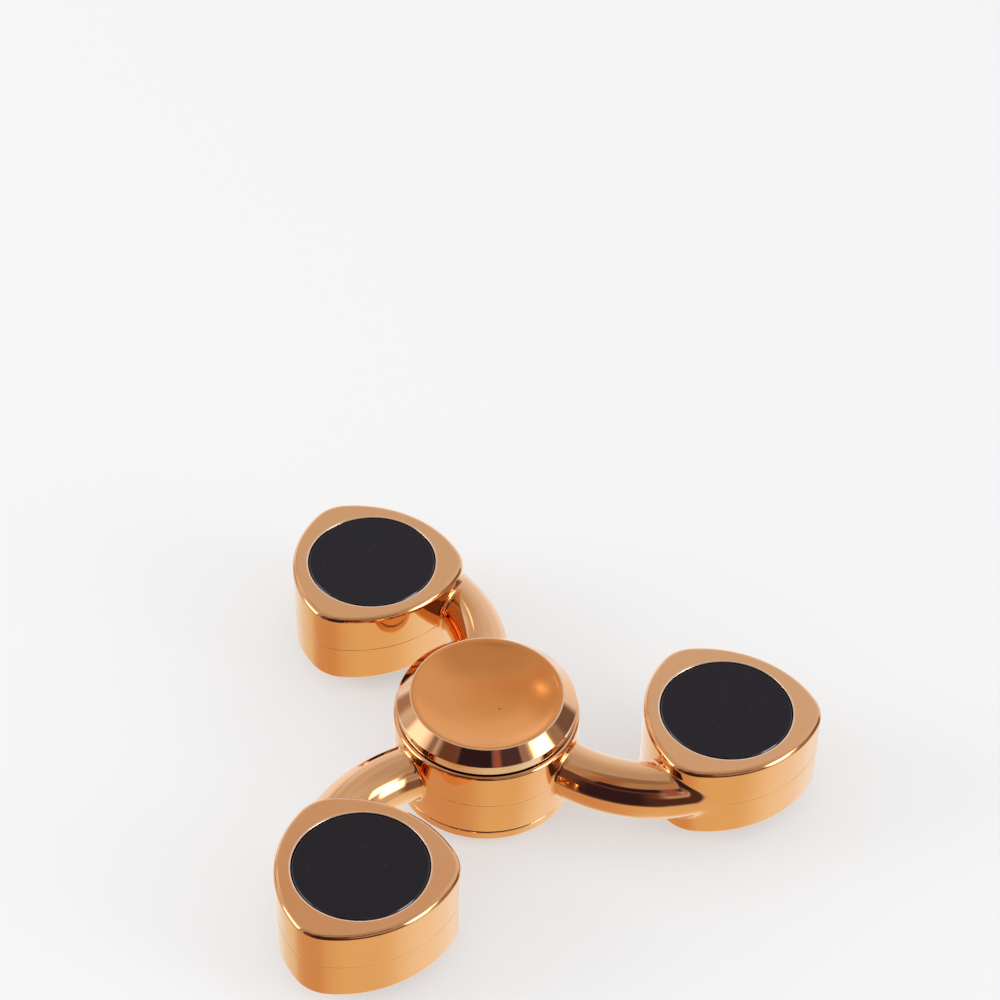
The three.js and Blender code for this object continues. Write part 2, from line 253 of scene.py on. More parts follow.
def off_metal(p):
    return melt(melt(off_arm(p), off_hub(p), ARM_BLEND), off_pod(p), ARM_BLEND)


def steepest(p, step=0.002):
    slope = [off_metal(p + step * axis) - off_metal(p - step * axis) for axis in np.eye(3)]
    slope = np.column_stack(slope) / (2 * step)
    return slope / np.linalg.norm(slope, axis=1)[:, None]


def arm_skin():
    """The arm and its rounded roots, as a net of points drawn onto the metal's surface."""
    low, high = np.array(ARM_GRID_LOW), np.array(ARM_GRID_HIGH)
    count = np.ceil((high - low) / ARM_GRID).astype(int) + 1
    axes = [low[i] + ARM_GRID * np.arange(count[i]) for i in range(3)]
    grid = np.stack(np.meshgrid(*axes, indexing="ij"), -1)
    value = off_metal(grid.reshape(-1, 3)).reshape(count)
    inside = value < 0

    def ends(axis):
        """The far and near ends of every grid edge along an axis, and the edges that cross the surface."""
        head, tail = [slice(None)] * 3, [slice(None)] * 3
        head[axis], tail[axis] = slice(1, None), slice(None, -1)
        head, tail = tuple(head), tuple(tail)
        return head, tail, inside[head] != inside[tail]

    total = np.zeros(tuple(count - 1) + (3,))
    hits = np.zeros(tuple(count - 1))
    for axis in range(3):
        head, tail, crossing = ends(axis)
        share = np.where(crossing, value[tail] / np.where(crossing, value[tail] - value[head], 1), 0)
        place = grid[tail].copy()
        place[..., axis] += share * ARM_GRID
        others = [i for i in range(3) if i != axis]
        for da in (0, 1):
            for db in (0, 1):
                part = [slice(None)] * 3
                for other, shift in zip(others, (da, db)):
                    part[other] = slice(shift, count[other] - 1 + shift)
                part = tuple(part)
                total += place[part] * crossing[part][..., None]
                hits += crossing[part]
    used = hits > 0
    points = total[used] / hits[used][:, None]
    for _ in range(ARM_PULLS):
        points -= off_metal(points)[:, None] * steepest(points)
    number = np.full(hits.shape, -1)
    number[used] = np.arange(used.sum())
    faces = []
    for axis in range(3):
        head, _, crossing = ends(axis)
        b, c = (axis + 1) % 3, (axis + 2) % 3
        where = np.argwhere(crossing)
        where = where[(where[:, b] > 0) & (where[:, c] > 0)]
        where = where[(where[:, b] < count[b] - 1) & (where[:, c] < count[c] - 1)]
        corners = []
        for db, dc in ((-1, -1), (0, -1), (0, 0), (-1, 0)):
            cell = where.copy()
            cell[:, b] += db
            cell[:, c] += dc
            corners.append(number[cell[:, 0], cell[:, 1], cell[:, 2]])
        quads = np.column_stack(corners)
        facing_back = inside[head][tuple(where.T)]
        quads[facing_back] = quads[facing_back][:, ::-1]
        faces.append(quads)
    faces = np.concatenate(faces)
    free = np.minimum(off_hub(points), off_pod(points)) > ARM_BURIED
    faces = faces[free[faces].any(axis=1)]
    kept = np.unique(faces)
    renumber = np.full(len(points), -1)
    renumber[kept] = np.arange(len(kept))
    return points[kept], renumber[faces], steepest(points[kept])


def outward_normals(points, faces):
    """Vertex normals of a closed skin, turned to face out."""
    draft = skin("draft", points, faces)
    mesh = draft.data
    normals = np.array([tuple(v.vector) for v in mesh.vertex_normals])
    bpy.data.objects.remove(draft)
    bpy.data.meshes.remove(mesh)
    corners = points[faces]
    leans = np.cross(corners[:, 2] - corners[:, 0], corners[:, 3] - corners[:, 1])
    if (corners.mean(1) * leans).sum() < 0:
        return faces[:, ::-1], -normals
    return faces, normals


def turned_about_axis(points, turn):
    c, s = math.cos(turn), math.sin(turn)
    return points @ np.array([[c, s, 0], [-s, c, 0], [0, 0, 1]])


def build_frame():
    pod_points, pod_faces = joined_rings(pod_rings())
    pod_faces, pod_normals = outward_normals(pod_points, pod_faces)
    pod = (pod_points + [POD_ORBIT, 0, 0], pod_faces, pod_normals)
    hub_points, hub_faces = joined_rings(hub_rings())
    casting = [(hub_points, *outward_normals(hub_points, hub_faces))]
    arm = arm_skin()
    for k in range(ARMS):
        turn = k * 2 * math.pi / ARMS
        for points, faces, normals in (pod, arm):
            casting.append((turned_about_axis(points, turn), faces, turned_about_axis(normals, turn)))
    first = np.cumsum([0] + [len(points) for points, _, _ in casting])
    return skin(
        "rose_gold_frame",
        np.concatenate([points for points, _, _ in casting]),
        np.concatenate([faces + start for (_, faces, _), start in zip(casting, first)]),
        np.concatenate([normals for _, _, normals in casting]),
    )


def new_material(name):
    material = bpy.data.materials.new(name)
    material.use_nodes = True
    nodes = material.node_tree.nodes
    return material, nodes, material.node_tree.links, nodes["Principled BSDF"]


def grain(nodes, links, scale, detail=3.0):
    """A noise texture that stays with the piece, with scale in grains per metre."""
    place = nodes.new("ShaderNodeTexCoord")
    noise = nodes.new("ShaderNodeTexNoise")
    noise.inputs["Scale"].default_value = scale
    noise.inputs["Detail"].default_value = detail
    links.new(place.outputs["Object"], noise.inputs["Vector"])
    return noise.outputs["Fac"]


def remap(nodes, links, value, low, high, from_low=0.3, from_high=0.7):
    span = nodes.new("ShaderNodeMapRange")
    span.inputs["From Min"].default_value = from_low
    span.inputs["From Max"].default_value = from_high
    span.inputs["To Min"].default_value = low
    span.inputs["To Max"].default_value = high
    links.new(value, span.inputs["Value"])
    return span.outputs["Result"]


def between(nodes, links, share, first, second):
    """A mix by share of two colours; the first may also be the result of another mix."""
    blend = nodes.new("ShaderNodeMix")
    blend.data_type = "RGBA"
    if isinstance(first, tuple):
        blend.inputs["A"].default_value = (*first, 1)
    else:
        links.new(first, blend.inputs["A"])
    blend.inputs["B"].default_value = (*second, 1)
    links.new(share, blend.inputs["Factor"])
    return blend.outputs["Result"]


def bumped(nodes, links, height, depth):
    bump = nodes.new("ShaderNodeBump")
    bump.inputs["Distance"].default_value = depth
    links.new(height, bump.inputs["Height"])
    return bump.outputs["Normal"]


def cloudy_metal(name, tones, clouds, haze, haze_clouds):
    """Bare metal that drifts between two tones and two roughnesses, in clouds of (scale, detail)."""
    material, nodes, links, shader = new_material(name)
    shader.inputs["Metallic"].default_value = 1.0
    tone = remap(nodes, links, grain(nodes, links, *clouds), 0, 1)
    links.new(between(nodes, links, tone, *tones), shader.inputs["Base Color"])
    links.new(remap(nodes, links, grain(nodes, links, *haze_clouds), *haze), shader.inputs["Roughness"])
    return material, nodes, links, shader


def lacquered(shader, roughness):
    shader.inputs["Coat Weight"].default_value = 1.0
    shader.inputs["Coat Roughness"].default_value = roughness


def rose_gold_plating():
    tones = ((0.84, 0.415, 0.15), (0.82, 0.395, 0.135))
    haze = (0.035, 0.075)
    material, nodes, links, shader = cloudy_metal("rose_gold_plating", tones, (60, 3), haze, (900, 4))
    links.new(bumped(nodes, links, grain(nodes, links, 260, 1), 0.000016), shader.inputs["Normal"])
    lacquered(shader, 0.04)
    return material


# The bore's lip in a paler, rougher gold: a painted highlight, the pale line and white glints round each
# disc.
def bore_lip_painted_highlight():
    tones = ((0.94, 0.68, 0.46), (0.88, 0.61, 0.39))
    return cloudy_metal("bore_lip_painted_highlight", tones, (900, 4), (0.18, 0.26), (3000, 3))[0]


def on_bore_lip(middle):
    """Whether a face's middle, in millimetres, lies on the eased edge of a pod's bore."""
    near_top = abs(middle[2]) > POD_HALF_HEIGHT - BORE_LIP_DROP
    for k in range(ARMS):
        turn = k * 2 * math.pi / ARMS
        out = math.hypot(middle[0] - POD_ORBIT * math.cos(turn), middle[1] - POD_ORBIT * math.sin(turn))
        if near_top and BORE_RADIUS < out < BORE_RADIUS + BORE_LIP_WIDTH:
            return True
    return False


spinner_frame = build_frame()
spinner_frame.data.materials.append(rose_gold_plating())
spinner_frame.data.materials.append(bore_lip_painted_highlight())
# Faces on a bore's lip take the paler gold of the painted highlight.
for face in spinner_frame.data.polygons:
    face.material_index = 1 if on_bore_lip(face.center / MM) else 0
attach(spinner_frame, "rotor")
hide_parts("tri_arm_frame")


# ---------------------------------------------------------------------------------------------
# The black discs: one glued into each face of each pod, just below the gold. The face is satin,
# the edge a narrow polished bevel, and a dark line is left round it.
# ---------------------------------------------------------------------------------------------
DISC_RADIUS = 6.65
DISC_TOP = 4.34
DISC_BEVEL = 0.17
DISC_FOOT = 0.1
DISC_SOFTNESS = 0.04


def turned(name, profile, steps=192):
    """A turned piece from (radius, z) points that start and end on the axis or close on themselves."""
    on_axis = profile[0][0] < 1e-6
    rings = [circle(r, z, steps) for r, z in profile if r > 1e-6]
    points, faces = joined_rings(rings, closed_loop=not on_axis)
    faces = faces.tolist()
    if on_axis:
        points = np.vstack([points, [[0, 0, profile[0][1]], [0, 0, profile[-1][1]]]])
        first, last, end = len(points) - 2, len(points) - 1, (len(rings) - 1) * steps
        for s in range(steps):
            t = (s + 1) % steps
            faces.append((first, t, s))
            faces.append((last, end + s, end + t))
    mesh = bpy.data.meshes.new(name)
    mesh.from_pydata((points * MM).tolist(), [], faces)
    mesh.update()
    mesh.shade_smooth()
    volume = sum(p.normal.dot(p.center) * p.area for p in mesh.polygons)
    if volume < 0:
        mesh.flip_normals()
    piece = bpy.data.objects.new(name, mesh)
    bpy.context.scene.collection.objects.link(piece)
    return piece


def rounded(corner, radius, start_deg, end_deg, steps=6):
    return [(corner[0] + out, corner[1] + up) for out, up in quarter(radius, start_deg, end_deg, steps)]


def disc_profile():
    """From the middle of the back, over the bevel, to the middle of the face."""
    low, top, edge, soft = LEDGE_Z, DISC_TOP, DISC_BEVEL, DISC_SOFTNESS
    return [
        (0, low), (DISC_RADIUS - DISC_FOOT, low), (DISC_RADIUS, low + DISC_FOOT),
        (DISC_RADIUS, top - edge - soft), *rounded((DISC_RADIUS - soft, top - edge), soft, 0, 45, 4),
        *rounded((DISC_RADIUS - edge, top - soft), soft, 45, 90, 4),
        (DISC_RADIUS - edge - WIDE_GUARD, top), (DISC_RADIUS / 2, top), (0, top),
    ]


def specks(nodes, links, scale, core, rim):
    """Small round specks, one in each of the cells, of scale cells per metre."""
    place = nodes.new("ShaderNodeTexCoord")
    cells = nodes.new("ShaderNodeTexVoronoi")
    cells.inputs["Scale"].default_value = scale
    links.new(place.outputs["Object"], cells.inputs["Vector"])
    return remap(nodes, links, cells.outputs["Distance"], 1, 0, core, rim)


def black_disc_face():
    material, nodes, links, shader = new_material("black_disc_face")
    dust = specks(nodes, links, 900, 0.045, 0.075)
    colour = between(nodes, links, dust, (0.0092, 0.0062, 0.0072), (0.052, 0.040, 0.043))
    links.new(colour, shader.inputs["Base Color"])
    links.new(remap(nodes, links, grain(nodes, links, 1500, 4), 0.43, 0.47), shader.inputs["Roughness"])
    shader.inputs["Specular IOR Level"].default_value = 0.2
    links.new(bumped(nodes, links, grain(nodes, links, 6000, 2), 0.000004), shader.inputs["Normal"])
    return material


def black_disc_edge():
    material, nodes, links, shader = new_material("black_disc_edge")
    tone = remap(nodes, links, grain(nodes, links, 2000), 0, 1)
    colour = between(nodes, links, tone, (0.007, 0.006, 0.007), (0.010, 0.008, 0.009))
    links.new(colour, shader.inputs["Base Color"])
    shader.inputs["Roughness"].default_value = 0.08
    shader.inputs["Specular IOR Level"].default_value = 0.9
    return material


def from_axis(face):
    """How far a face's middle lies from its piece's axis, in millimetres."""
    return math.hypot(face.center.x, face.center.y) / MM


disc_face = black_disc_face()
disc_edge = black_disc_edge()
for k, letter in enumerate("abc"):
    for side in ("upper", "lower"):
        flip = 1 if side == "upper" else -1
        disc = turned(f"black_disc_{letter}_{side}", [(r, flip * z) for r, z in disc_profile()])
        disc.data.materials.append(disc_face)
        disc.data.materials.append(disc_edge)
        for face in disc.data.polygons:
            face.material_index = 1 if from_axis(face) > DISC_RADIUS - DISC_BEVEL else 0
        turn = k * 2 * math.pi / ARMS
        disc.location = (POD_ORBIT * MM * math.cos(turn), POD_ORBIT * MM * math.sin(turn), 0)
        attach(disc, "rotor")
        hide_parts(f"pod_{letter}_{side}_disc")


# ---------------------------------------------------------------------------------------------
# The finger caps: turned pads with a satin dish, a thin lip of paler gold as a painted highlight, a
# slanted mirror ring and an upright band, paler gold on the upper cap as a painted reflection. Their
# necks clamp the bearing's inner race, and a stud on the lower cap screws into the upper one to
# draw the two together.
# ---------------------------------------------------------------------------------------------
CAP_RADIUS = 9.0
CAP_RIM_RADIUS = 7.74
CAP_DISH_RADIUS = 7.05
CAP_DISH_DEPTH = 1.25
CAP_DISH_POWER = 2.6
CAP_SHOULDER = 1.1
CAP_LIP = 0.15
CAP_UNDERSIDE = {"upper": 4.22, "lower": 4.37}
CAP_BAND_TOP = 5.25
CAP_RIM_Z = 6.46
CAP_LOWER_EDGE = 0.08
CAP_UPPER_EDGE = 0.06
NECK_RADIUS = 3.96
SPIGOT_RADIUS = 3.163
SPIGOT_END = 0.012
STUD_RADIUS = 1.95
STUD_TIP = 4.0
STUD_CHAMFER = 0.3
SOCKET_GAP = 0.05


def cap_profile(inner, underside):
    """From the neck out over the band, ring and lip to the middle of the dish, after inner."""
    run, depth, power = CAP_DISH_RADIUS, CAP_DISH_DEPTH, CAP_DISH_POWER
    # The bowl and the shoulder share one slope where they meet, which this settles.
    for _ in range(12):
        lean = math.atan(power * depth / run)
        depth = CAP_DISH_DEPTH - CAP_SHOULDER * (1 - math.cos(lean))
    low = CAP_RIM_Z - CAP_DISH_DEPTH
    dish = [(run * t, low + depth * t**power) for t in np.linspace(1, 0, 40)]
    crest = run + CAP_SHOULDER * math.sin(lean)
    inside_lip = CAP_RIM_RADIUS - CAP_LIP
    fall = math.asin((inside_lip - crest) / CAP_SHOULDER)
    shoulder = [(crest + CAP_SHOULDER * math.sin(a), CAP_RIM_Z - CAP_SHOULDER * (1 - math.cos(a)))
                for a in np.linspace(fall, -lean, 16)[:-1]]
    lip_z = shoulder[0][1] - 0.03
    slope = math.degrees(math.atan2(CAP_RADIUS - CAP_RIM_RADIUS, lip_z - CAP_BAND_TOP))
    foot = rounded((CAP_RADIUS - CAP_UPPER_EDGE, CAP_BAND_TOP - 0.03), CAP_UPPER_EDGE, 0, slope, 5)
    head = (CAP_RIM_RADIUS, lip_z - 0.02)
    ring = [tuple(np.array(foot[-1]) * (1 - t) + np.array(head) * t) for t in (0.03, 0.5, 0.97, 1)]
    edge = CAP_LOWER_EDGE
    return [
        *inner,
        (NECK_RADIUS, BEARING_HALF_WIDTH), (NECK_RADIUS, underside),
        (CAP_RADIUS - edge - 0.01, underside),
        *rounded((CAP_RADIUS - edge, underside + edge), edge, -90, 0, 6),
        (CAP_RADIUS, CAP_BAND_TOP - 0.06),
        *foot, *ring,
        (CAP_RIM_RADIUS - 0.015, lip_z - 0.004), (CAP_RIM_RADIUS - 0.03, lip_z),
        (inside_lip + 0.02, lip_z + 0.026),
        *shoulder,
        *dish,
    ]


def turning_marks(nodes, links, scale, depth):
    """The fine rings that a lathe tool leaves about the axis."""
    place = nodes.new("ShaderNodeTexCoord")
    level = nodes.new("ShaderNodeVectorMath")
    level.operation = "MULTIPLY"
    level.inputs[1].default_value = (1, 1, 0)
    links.new(place.outputs["Object"], level.inputs[0])
    radius = nodes.new("ShaderNodeVectorMath")
    radius.operation = "LENGTH"
    links.new(level.outputs["Vector"], radius.inputs[0])
    rings = nodes.new("ShaderNodeTexNoise")
    rings.noise_dimensions = "1D"
    rings.inputs["Scale"].default_value = scale
    rings.inputs["Detail"].default_value = 2
    links.new(radius.outputs["Value"], rings.inputs["W"])
    return bumped(nodes, links, rings.outputs["Fac"], depth)


def mirror_plating():
    tones = ((0.84, 0.425, 0.165), (0.82, 0.405, 0.15))
    haze = (0.03, 0.06)
    material, nodes, links, shader = cloudy_metal("turned_rose_gold", tones, (80, 3), haze, (1200, 3))
    links.new(turning_marks(nodes, links, 14000, 0.0000012), shader.inputs["Normal"])
    lacquered(shader, 0.03)
    return material


# A paler gold for the upper cap's band: a painted reflection of the brighter surround it shows, where the
# lower band keeps the mirror plating.
def upper_band_painted_reflection():
    tones = ((0.80, 0.55, 0.36), (0.77, 0.52, 0.33))
    material, _, _, shader = cloudy_metal("gold_band_painted_reflection", tones, (150, 3), (0.07, 0.12), (1200, 3))
    lacquered(shader, 0.06)
    return material


# The cap's lip in a paler, rougher gold: a painted highlight, a pale line round the dish.
def cap_lip_painted_highlight():
    tones = ((0.88, 0.61, 0.38), (0.80, 0.52, 0.30))
    return cloudy_metal("gold_lip_painted_highlight", tones, (900, 4), (0.30, 0.42), (3000, 3))[0]


def satin_dish():
    material, nodes, links, shader = new_material("satin_dish")
    shader.inputs["Metallic"].default_value = 1.0
    tone = remap(nodes, links, grain(nodes, links, 90), 0, 1)
    gold = between(nodes, links, tone, (0.83, 0.318, 0.082), (0.81, 0.300, 0.074))
    pits = specks(nodes, links, 210, 0.014, 0.026)
    links.new(between(nodes, links, pits, gold, (0.10, 0.05, 0.03)), shader.inputs["Base Color"])
    links.new(remap(nodes, links, grain(nodes, links, 9000, 3), 0.105, 0.14), shader.inputs["Roughness"])
    links.new(bumped(nodes, links, grain(nodes, links, 12000, 3), 0.000006), shader.inputs["Normal"])
    return material


def cap_finish(face, side):
    """The finish of a cap's face: 0 mirror plating, 1 satin dish, 2 upper band in paler gold, a painted
    reflection, 3 lip in paler gold, a painted highlight.
    """
    at = from_axis(face)
    inside_lip = CAP_RIM_RADIUS - CAP_LIP
    if abs(face.center.z) / MM > CAP_UNDERSIDE[side] + 0.3:
        if at < inside_lip:
            return 1
        if at < CAP_RIM_RADIUS - 0.01:
            return 3
    # Only the upper cap's band takes the paler gold, a painted reflection.
    if side == "upper" and at > CAP_RADIUS - 0.02 and abs(face.normal.z) < 0.3:
        return 2
    return 0


spigot = [(STUD_RADIUS, SPIGOT_END), (SPIGOT_RADIUS, SPIGOT_END), (SPIGOT_RADIUS, BEARING_HALF_WIDTH)]
socket_radius = STUD_RADIUS + SOCKET_GAP
cap_insides = {
    "upper": [
        (0, CAP_UNDERSIDE["upper"]), (socket_radius, CAP_UNDERSIDE["upper"]),
        (socket_radius, SPIGOT_END), *spigot[1:],
    ],
    "lower": [
        (0, -STUD_TIP), (STUD_RADIUS - STUD_CHAMFER, -STUD_TIP),
        (STUD_RADIUS, -STUD_TIP + STUD_CHAMFER), *spigot,
    ],
}
cap_finishes = (mirror_plating(), satin_dish(), upper_band_painted_reflection(), cap_lip_painted_highlight())
for side in ("upper", "lower"):
    flip = 1 if side == "upper" else -1
    profile = cap_profile(cap_insides[side], CAP_UNDERSIDE[side])
    cap = turned(f"finger_cap_{side}", [(r, flip * z) for r, z in profile], 256)
    for finish in cap_finishes:
        cap.data.materials.append(finish)
    for face in cap.data.polygons:
        face.material_index = cap_finish(face, side)
    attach(cap, "finger_caps")
    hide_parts(f"{side}_finger_cap")


# ---------------------------------------------------------------------------------------------
# The bearing and the weights, hidden when the spinner is whole: ground steel races and balls, a
# moulded nylon cage, pressed shields with their wire clips, and a turned steel slug in each pod.
# ---------------------------------------------------------------------------------------------
def plain_steel(name, light, dark, roughness):
    return cloudy_metal(name, (light, dark), (700, 3), (roughness, roughness + 0.1), (5000, 3))[0]


def cage_nylon():
    material, nodes, links, shader = new_material("cage_nylon")
    tone = remap(nodes, links, grain(nodes, links, 500), 0, 1)
    ivory = between(nodes, links, tone, (0.80, 0.76, 0.66), (0.74, 0.69, 0.58))
    links.new(ivory, shader.inputs["Base Color"])
    shader.inputs["Roughness"].default_value = 0.5
    return material


finishes = {
    "bearing_steel": plain_steel("ground_steel", (0.66, 0.67, 0.69), (0.60, 0.61, 0.63), 0.12),
    "shield_steel": plain_steel("pressed_steel", (0.52, 0.53, 0.55), (0.46, 0.47, 0.49), 0.3),
    "weight_steel": plain_steel("turned_steel", (0.46, 0.47, 0.49), (0.40, 0.41, 0.43), 0.28),
    "cage_nylon": cage_nylon(),
}
for entry in frame["record"]["subparts"]:
    if entry["material_slot"] in finishes:
        node = frame["nodes"][entry["node"]]
        node.data.materials.clear()
        node.data.materials.append(finishes[entry["material_slot"]])


# ---------------------------------------------------------------------------------------------
# The studio: a pale floor under the lower cap, a soft bright surround that is darker where the
# camera stands, and a softbox on each side.
# ---------------------------------------------------------------------------------------------
FLOOR_Z = cad_box[0][2]
FLOOR_HALF = 1.2
FLOOR_COLOUR = 0.45
FLOOR_LIFT = 0.468
BACKGROUND = 0.913


def add_floor():
    h = FLOOR_HALF
    mesh = bpy.data.meshes.new("floor")
    corners = [(-h, -h, FLOOR_Z), (h, -h, FLOOR_Z), (h, h, FLOOR_Z), (-h, h, FLOOR_Z)]
    mesh.from_pydata(corners, [], [(0, 1, 2, 3)])
    floor = bpy.data.objects.new("floor", mesh)
    bpy.context.scene.collection.objects.link(floor)
    material, nodes, links, shader = new_material("pale_floor")
    shader.inputs["Base Color"].default_value = (FLOOR_COLOUR, FLOOR_COLOUR, FLOOR_COLOUR, 1)
    shader.inputs["Roughness"].default_value = 0.9
    shader.inputs["Specular IOR Level"].default_value = 0.0
    path = nodes.new("ShaderNodeLightPath")
    seen = nodes.new("ShaderNodeMath")
    seen.operation = "MAXIMUM"
    links.new(path.outputs["Is Camera Ray"], seen.inputs[0])
    links.new(path.outputs["Is Glossy Ray"], seen.inputs[1])
    lift = nodes.new("ShaderNodeMath")
    lift.operation = "MULTIPLY"
    lift.inputs[1].default_value = FLOOR_LIFT
    links.new(seen.outputs["Value"], lift.inputs[0])
    shader.inputs["Emission Color"].default_value = (1, 1, 1, 1)
    links.new(lift.outputs["Value"], shader.inputs["Emission Strength"])
    floor.data.materials.append(material)
    floor.visible_glossy = False


add_floor()


def toward(azimuth_deg, height_deg):
    """A direction from the object: azimuth 0 is -Y, where the camera stands, and 90 is +X."""
    a, h = math.radians(azimuth_deg), math.radians(height_deg)
    return (math.sin(a) * math.cos(h), -math.cos(a) * math.cos(h), math.sin(h))


# What the polished metal shows round about, laid in this order over the colour of the back and
# the sky: azimuth of the middle, half width, softness, lowest, highest, softness (degrees), colour.
SURROUND = (0.70, 0.705, 0.78)
PATCHES = [
    ("overhead", 0, 180, 1, 62, 90, 8, (0.57, 0.58, 0.68)),
    ("overhead_front", -5, 78, 18, 50, 87, 5, (0.50, 0.41, 0.35)),
    ("overhead_boom", -20, 60, 20, 71, 89, 2, (0.34, 0.29, 0.275)),
    ("overhead_brown", -35, 10, 8, 46, 78, 8, (0.40, 0.24, 0.18)),
    ("warm_band", 180, 75, 20, 48, 57, 3, (0.655, 0.56, 0.55)),
    ("bright_wall", 180, 62, 14, -30, 38, 6, (0.88, 0.97, 1.20)),
    ("back_wall_foot", 180, 48, 14, -30, 1, 6, (1.00, 1.03, 1.04)),
    ("back_left_wall", -150, 22, 8, -8, 16, 5, (1.04, 1.14, 1.38)),
    ("back_left_shade", -148, 12, 8, 22, 46, 5, (0.68, 0.62, 0.60)),
    ("back_right_glow", 140, 30, 18, 28, 58, 6, (0.77, 0.83, 1.06)),
    ("back_left_lamp", -147, 1.5, 1.5, 41, 49, 2, (2.2, 2.2, 2.2)),
    ("left_foot", -122, 22, 10, -30, -3, 5, (0.74, 0.68, 0.65)),
    ("left_corner", -126, 8, 4, -2, 13, 4, (0.42, 0.31, 0.30)),
    ("table", 0, 180, 1, -90, -25, 4, (0.88, 0.77, 0.52)),
    ("table_right", 100, 40, 26, -90, -27, 4, (1.02, 1.04, 0.98)),
    ("table_back", 180, 40, 20, -62, -25, 6, (0.90, 0.86, 0.79)),
    # The left of the table is darker and warmer: a painted shadow of the object on the floor, as the metal
    # sees it.
    ("table_left_painted_shadow", -58, 34, 32, -90, -25, 4, (0.74, 0.50, 0.30)),
    ("right_table_edge", 100, 18, 8, -31, -4, 4, (0.30, 0.24, 0.17)),
    ("right_corner", 106, 18, 4, -6, 24, 4, (0.20, 0.155, 0.15)),
    ("right_dark", 88, 8, 4, -14, 30, 4, (0.38, 0.31, 0.30)),
    ("front_right_high", 32, 22, 6, 18, 33, 3, (0.50, 0.42, 0.45)),
    ("front_right", 42, 12, 5, -22, 14, 5, (0.24, 0.17, 0.18)),
    ("front_left", -71.5, 3, 2, -20, 50, 5, (0.33, 0.28, 0.30)),
    ("front_dark", -27, 36, 5, -23, 47, 4, (0.16, 0.085, 0.08)),
    ("front_dark_foot", 5, 28, 5, -20, 14, 5, (0.09, 0.05, 0.06)),
    ("front_core", -22, 20, 7, -17, 34, 5, (0.035, 0.022, 0.048)),
    ("hood", -14, 23, 3, 38, 51, 2, (0.032, 0.020, 0.045)),
    ("hood_right", 28, 19, 3, 36, 50, 2, (0.08, 0.055, 0.10)),
    ("hood_edge", 51, 4, 3, 35, 47, 3, (0.36, 0.32, 0.38)),
    ("brown_curtain", 15, 4, 2.5, 24, 51, 2, (0.36, 0.16, 0.17)),
    ("right_softbox", 62, 7, 6, 5, 26, 8, (9.0, 9.0, 9.0)),
    ("right_softbox_top", 72, 11.5, 3, 24, 39, 4, (5.0, 5.0, 5.4)),
    ("left_softbox", -88, 13, 5, 0, 16, 5, (6.0, 5.6, 6.2)),
    ("left_softbox_top", -89, 13, 4, 15, 32, 3, (1.9, 1.8, 2.1)),
]
PLAIN_LIGHT = 0.80


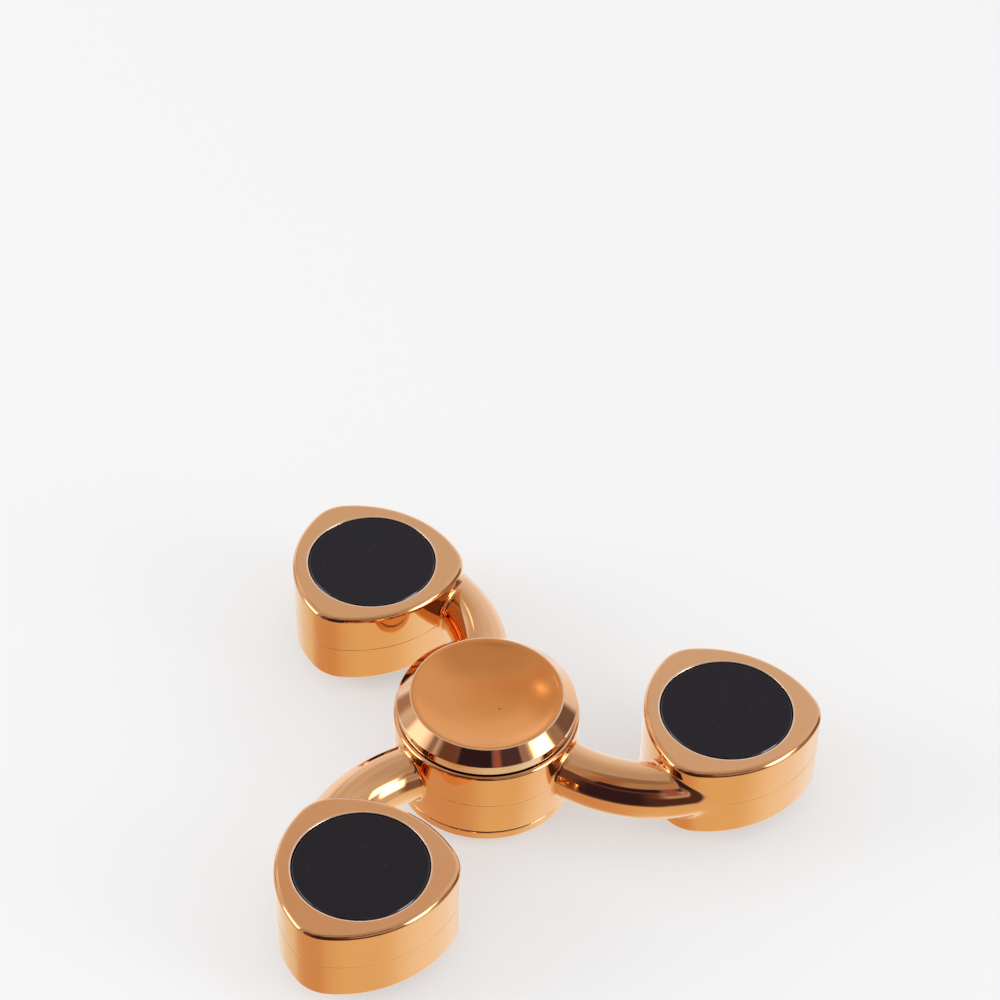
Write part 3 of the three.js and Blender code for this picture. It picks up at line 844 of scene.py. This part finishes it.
def add_surround():
    world = bpy.data.worlds.new("soft_surround")
    bpy.context.scene.world = world
    world.use_nodes = True
    nodes, links = world.node_tree.nodes, world.node_tree.links
    nodes.clear()
    place = nodes.new("ShaderNodeTexCoord")
    height = nodes.new("ShaderNodeSeparateXYZ")
    links.new(place.outputs["Generated"], height.inputs["Vector"])
    level = nodes.new("ShaderNodeVectorMath")
    level.operation = "MULTIPLY"
    level.inputs[1].default_value = (1, 1, 0)
    links.new(place.outputs["Generated"], level.inputs[0])
    heading = nodes.new("ShaderNodeVectorMath")
    heading.operation = "NORMALIZE"
    links.new(level.outputs["Vector"], heading.inputs[0])

    def step(value, first, last):
        ramp = nodes.new("ShaderNodeMapRange")
        ramp.interpolation_type = "SMOOTHSTEP"
        ramp.inputs["From Min"].default_value = first
        ramp.inputs["From Max"].default_value = last
        links.new(value, ramp.inputs["Value"])
        return ramp.outputs["Result"]

    def product(first, second):
        times = nodes.new("ShaderNodeMath")
        times.operation = "MULTIPLY"
        links.new(first, times.inputs[0])
        links.new(second, times.inputs[1])
        return times.outputs["Value"]

    def sine(degrees):
        return math.sin(math.radians(max(-90, min(90, degrees))))

    start = nodes.new("ShaderNodeRGB")
    start.outputs[0].default_value = (*SURROUND, 1)
    colour = start.outputs[0]
    for name, azimuth, half, side_soft, low, high, soft, tint in PATCHES:
        share = None
        if low > -90:
            share = step(height.outputs["Z"], sine(low - soft), sine(low + soft))
        if high < 90:
            under = nodes.new("ShaderNodeMath")
            under.operation = "SUBTRACT"
            under.inputs[0].default_value = 1
            links.new(step(height.outputs["Z"], sine(high - soft), sine(high + soft)), under.inputs[1])
            share = under.outputs["Value"] if share is None else product(share, under.outputs["Value"])
        if half < 180:
            facing = nodes.new("ShaderNodeVectorMath")
            facing.operation = "DOT_PRODUCT"
            facing.inputs[1].default_value = toward(azimuth, 0)
            links.new(heading.outputs["Vector"], facing.inputs[0])
            near = step(facing.outputs["Value"], math.cos(math.radians(half + side_soft)),
                        math.cos(math.radians(half - side_soft)))
            share = product(share, near)
        blend = nodes.new("ShaderNodeMix")
        blend.name = name
        blend.data_type = "RGBA"
        blend.inputs["B"].default_value = (*tint, 1)
        links.new(share, blend.inputs["Factor"])
        links.new(colour, blend.inputs["A"])
        colour = blend.outputs["Result"]
    path = nodes.new("ShaderNodeLightPath")
    glossy = nodes.new("ShaderNodeMix")
    glossy.data_type = "RGBA"
    glossy.inputs["A"].default_value = (PLAIN_LIGHT, PLAIN_LIGHT, PLAIN_LIGHT, 1)
    links.new(path.outputs["Is Glossy Ray"], glossy.inputs["Factor"])
    links.new(colour, glossy.inputs["B"])
    shown = nodes.new("ShaderNodeMix")
    shown.data_type = "RGBA"
    shown.inputs["B"].default_value = (BACKGROUND, BACKGROUND, BACKGROUND, 1)
    links.new(path.outputs["Is Camera Ray"], shown.inputs["Factor"])
    links.new(glossy.outputs["Result"], shown.inputs["A"])
    light = nodes.new("ShaderNodeBackground")
    links.new(shown.outputs["Result"], light.inputs["Color"])
    out = nodes.new("ShaderNodeOutputWorld")
    links.new(light.outputs["Background"], out.inputs["Surface"])


add_surround()

# name, azimuth, height (degrees), distance, width, height (m), power (W)
SOFTBOXES = [
    ("right_softbox", 67, 12, 0.6, 0.29, 0.54, 1.6),
    ("left_softbox", -90, 18, 0.6, 0.37, 0.42, 1.6),
]
for name, azimuth, height, away, width, tall, power in SOFTBOXES:
    lamp = bpy.data.lights.new(name, "AREA")
    lamp.shape = "ELLIPSE"
    lamp.size, lamp.size_y, lamp.energy = width, tall, power
    softbox = bpy.data.objects.new(name, lamp)
    bpy.context.scene.collection.objects.link(softbox)
    direction = Vector(toward(azimuth, height))
    softbox.location = direction * away
    softbox.rotation_euler = (-direction).to_track_quat("-Z", "Y").to_euler()
    softbox.visible_glossy = False

# The camera looks down on the rotor from a little left of square, rolled by a degree and a half.
CAMERA_AZIMUTH = math.radians(-1.319)
CAMERA_HEIGHT = math.radians(42.949)
CAMERA_ROLL = math.radians(1.5565)
CAMERA_DISTANCE = 0.33458
CAMERA_LENS = 112.17
LOOK_AT = (0.001471, 0.030608, 0.004232)


def add_camera():
    back = Vector((
        math.sin(CAMERA_AZIMUTH) * math.cos(CAMERA_HEIGHT),
        -math.cos(CAMERA_AZIMUTH) * math.cos(CAMERA_HEIGHT),
        math.sin(CAMERA_HEIGHT),
    ))
    level = (-back).cross(Vector((0, 0, 1))).normalized()
    upright = level.cross(-back)
    right = level * math.cos(CAMERA_ROLL) + upright * math.sin(CAMERA_ROLL)
    top = -level * math.sin(CAMERA_ROLL) + upright * math.cos(CAMERA_ROLL)
    lens = bpy.data.cameras.new("camera")
    lens.sensor_width = 36
    lens.lens = CAMERA_LENS
    lens.clip_start = 0.01
    camera = bpy.data.objects.new("camera", lens)
    turn = Matrix((right, top, back)).transposed().to_4x4()
    camera.matrix_world = Matrix.Translation(Vector(LOOK_AT) + back * CAMERA_DISTANCE) @ turn
    bpy.context.scene.collection.objects.link(camera)
    bpy.context.scene.camera = camera


add_camera()
bpy.context.scene.view_settings.view_transform = "Standard"
